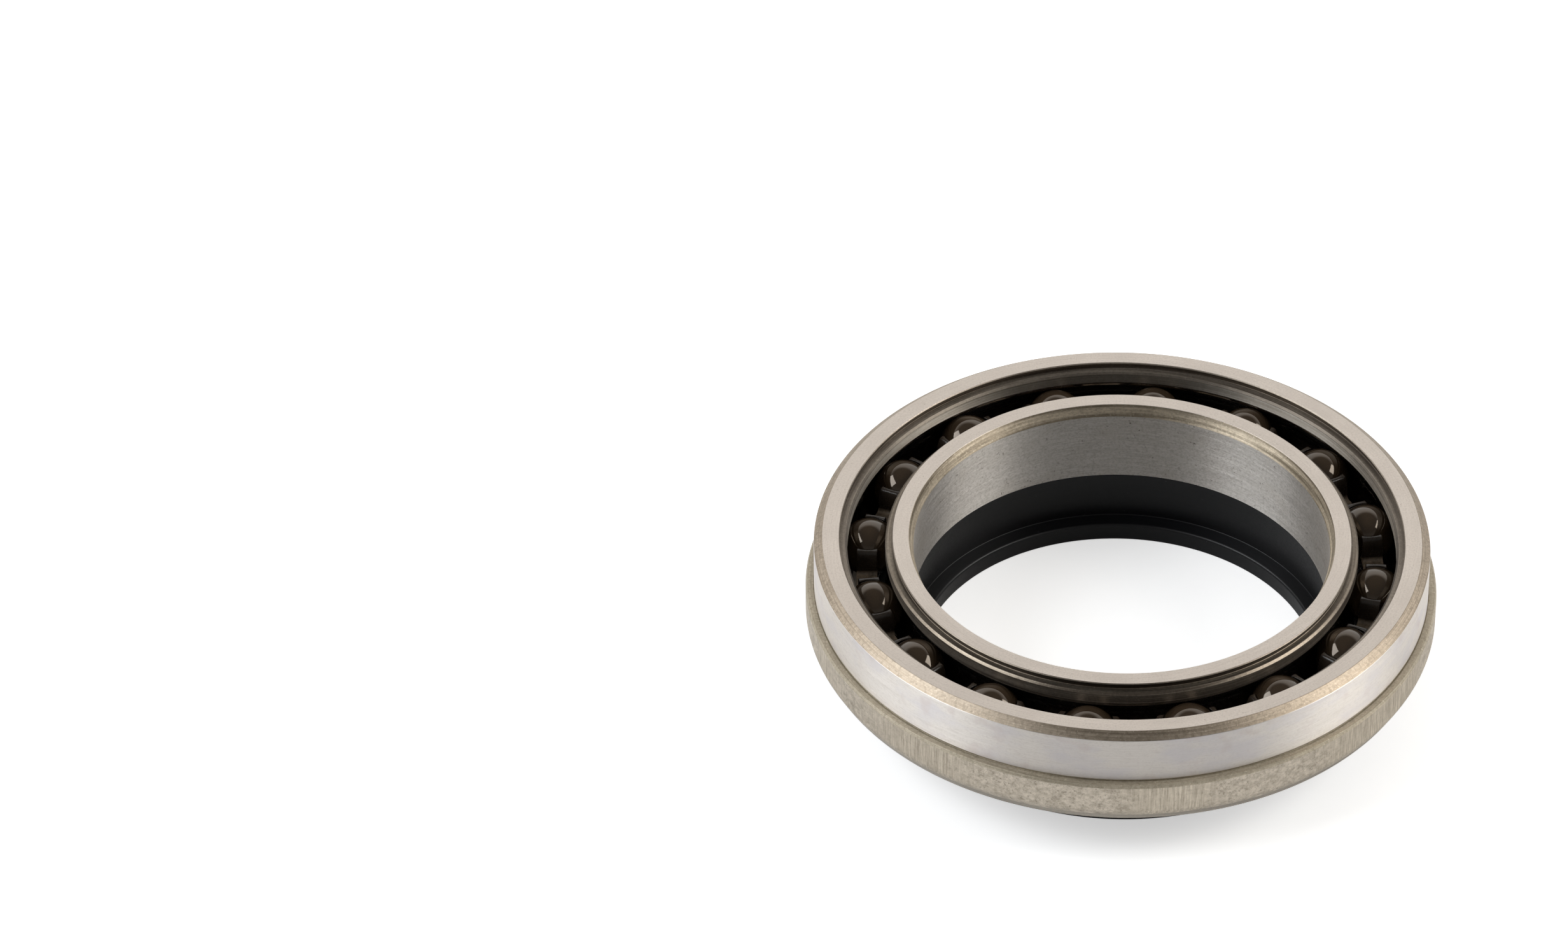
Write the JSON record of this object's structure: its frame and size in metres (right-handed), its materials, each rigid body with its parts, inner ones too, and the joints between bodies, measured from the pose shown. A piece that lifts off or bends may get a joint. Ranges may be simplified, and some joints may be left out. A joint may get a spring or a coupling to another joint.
{
  "type": "angular contact bearing",
  "caption": "Flanged single-row angular contact ball bearing, open on one side and sealed on the other, with a moulded collar under the inner ring that guides a spindle.",
  "frame": {"origin": "on the bearing axis, in the plane of the ball centres", "axes": "+Z along the axis, out of the open side; the collar points to -Z"},
  "size_m": [0.038, 0.038, 0.0099],
  "materials": {
    "outer_steel": "ground",
    "inner_steel": "ground",
    "cage_plastic": "moulded gloss",
    "seal_steel": "cold rolled",
    "seal_rubber": "moulded matte",
    "collar_plastic": "moulded satin",
    "ball_ceramic": "polished"
  },
  "bodies": {
    "outer": {"outer_ring": "outer_steel", "seal_core": "seal_steel", "seal_rubber": "seal_rubber"},
    "inner": {"inner_ring": "inner_steel", "spindle_collar": "collar_plastic"},
    "cage": {"cage": "cage_plastic"},
    "ball_01": {"ball_01": "ball_ceramic"},
    "ball_02": {"ball_02": "ball_ceramic"},
    "ball_03": {"ball_03": "ball_ceramic"},
    "ball_04": {"ball_04": "ball_ceramic"},
    "ball_05": {"ball_05": "ball_ceramic"},
    "ball_06": {"ball_06": "ball_ceramic"},
    "ball_07": {"ball_07": "ball_ceramic"},
    "ball_08": {"ball_08": "ball_ceramic"},
    "ball_09": {"ball_09": "ball_ceramic"},
    "ball_10": {"ball_10": "ball_ceramic"},
    "ball_11": {"ball_11": "ball_ceramic"},
    "ball_12": {"ball_12": "ball_ceramic"},
    "ball_13": {"ball_13": "ball_ceramic"},
    "ball_14": {"ball_14": "ball_ceramic"},
    "ball_15": {"ball_15": "ball_ceramic"},
    "ball_16": {"ball_16": "ball_ceramic"}
  },
  "joints": [
    {"name": "inner_spin", "type": "hinge", "parent": "outer", "child": "inner", "pos_m": [0, 0, 0], "axis": [0, 0, 1], "continuous": true},
    {"name": "cage_spin", "type": "hinge", "parent": "outer", "child": "cage", "pos_m": [0, 0, 0], "axis": [0, 0, 1], "continuous": true},
    {"name": "ball_01_roll", "type": "hinge", "parent": "cage", "child": "ball_01", "pos_m": [0.01497, 0.0034, 0], "axis": [-0.4121, -0.0936, 0.9063], "continuous": true},
    {"name": "ball_02_roll", "type": "hinge", "parent": "cage", "child": "ball_02", "pos_m": [0.01253, 0.00887, 0], "axis": [-0.3449, -0.2442, 0.9063], "continuous": true},
    {"name": "ball_03_roll", "type": "hinge", "parent": "cage", "child": "ball_03", "pos_m": [0.00818, 0.01299, 0], "axis": [-0.2252, -0.3576, 0.9063], "continuous": true},
    {"name": "ball_04_roll", "type": "hinge", "parent": "cage", "child": "ball_04", "pos_m": [0.00259, 0.01513, 0], "axis": [-0.0712, -0.4166, 0.9063], "continuous": true},
    {"name": "ball_05_roll", "type": "hinge", "parent": "cage", "child": "ball_05", "pos_m": [-0.0034, 0.01497, 0], "axis": [0.0936, -0.4121, 0.9063], "continuous": true},
    {"name": "ball_06_roll", "type": "hinge", "parent": "cage", "child": "ball_06", "pos_m": [-0.00887, 0.01253, 0], "axis": [0.2442, -0.3449, 0.9063], "continuous": true},
    {"name": "ball_07_roll", "type": "hinge", "parent": "cage", "child": "ball_07", "pos_m": [-0.01299, 0.00818, 0], "axis": [0.3576, -0.2252, 0.9063], "continuous": true},
    {"name": "ball_08_roll", "type": "hinge", "parent": "cage", "child": "ball_08", "pos_m": [-0.01513, 0.00259, 0], "axis": [0.4166, -0.0712, 0.9063], "continuous": true},
    {"name": "ball_09_roll", "type": "hinge", "parent": "cage", "child": "ball_09", "pos_m": [-0.01497, -0.0034, 0], "axis": [0.4121, 0.0936, 0.9063], "continuous": true},
    {"name": "ball_10_roll", "type": "hinge", "parent": "cage", "child": "ball_10", "pos_m": [-0.01253, -0.00887, 0], "axis": [0.3449, 0.2442, 0.9063], "continuous": true},
    {"name": "ball_11_roll", "type": "hinge", "parent": "cage", "child": "ball_11", "pos_m": [-0.00818, -0.01299, 0], "axis": [0.2252, 0.3576, 0.9063], "continuous": true},
    {"name": "ball_12_roll", "type": "hinge", "parent": "cage", "child": "ball_12", "pos_m": [-0.00259, -0.01513, 0], "axis": [0.0712, 0.4166, 0.9063], "continuous": true},
    {"name": "ball_13_roll", "type": "hinge", "parent": "cage", "child": "ball_13", "pos_m": [0.0034, -0.01497, 0], "axis": [-0.0936, 0.4121, 0.9063], "continuous": true},
    {"name": "ball_14_roll", "type": "hinge", "parent": "cage", "child": "ball_14", "pos_m": [0.00887, -0.01253, 0], "axis": [-0.2442, 0.3449, 0.9063], "continuous": true},
    {"name": "ball_15_roll", "type": "hinge", "parent": "cage", "child": "ball_15", "pos_m": [0.01299, -0.00818, 0], "axis": [-0.3576, 0.2252, 0.9063], "continuous": true},
    {"name": "ball_16_roll", "type": "hinge", "parent": "cage", "child": "ball_16", "pos_m": [0.01513, -0.00259, 0], "axis": [-0.4166, 0.0712, 0.9063], "continuous": true}
  ],
  "couplings": [
    {"joint": "cage_spin", "follows": "inner_spin", "ratio": 0.44834},
    {"joint": "ball_01_roll", "follows": "inner_spin", "ratio": -4.3389},
    {"joint": "ball_02_roll", "follows": "inner_spin", "ratio": -4.3389},
    {"joint": "ball_03_roll", "follows": "inner_spin", "ratio": -4.3389},
    {"joint": "ball_04_roll", "follows": "inner_spin", "ratio": -4.3389},
    {"joint": "ball_05_roll", "follows": "inner_spin", "ratio": -4.3389},
    {"joint": "ball_06_roll", "follows": "inner_spin", "ratio": -4.3389},
    {"joint": "ball_07_roll", "follows": "inner_spin", "ratio": -4.3389},
    {"joint": "ball_08_roll", "follows": "inner_spin", "ratio": -4.3389},
    {"joint": "ball_09_roll", "follows": "inner_spin", "ratio": -4.3389},
    {"joint": "ball_10_roll", "follows": "inner_spin", "ratio": -4.3389},
    {"joint": "ball_11_roll", "follows": "inner_spin", "ratio": -4.3389},
    {"joint": "ball_12_roll", "follows": "inner_spin", "ratio": -4.3389},
    {"joint": "ball_13_roll", "follows": "inner_spin", "ratio": -4.3389},
    {"joint": "ball_14_roll", "follows": "inner_spin", "ratio": -4.3389},
    {"joint": "ball_15_roll", "follows": "inner_spin", "ratio": -4.3389},
    {"joint": "ball_16_roll", "follows": "inner_spin", "ratio": -4.3389}
  ]
}
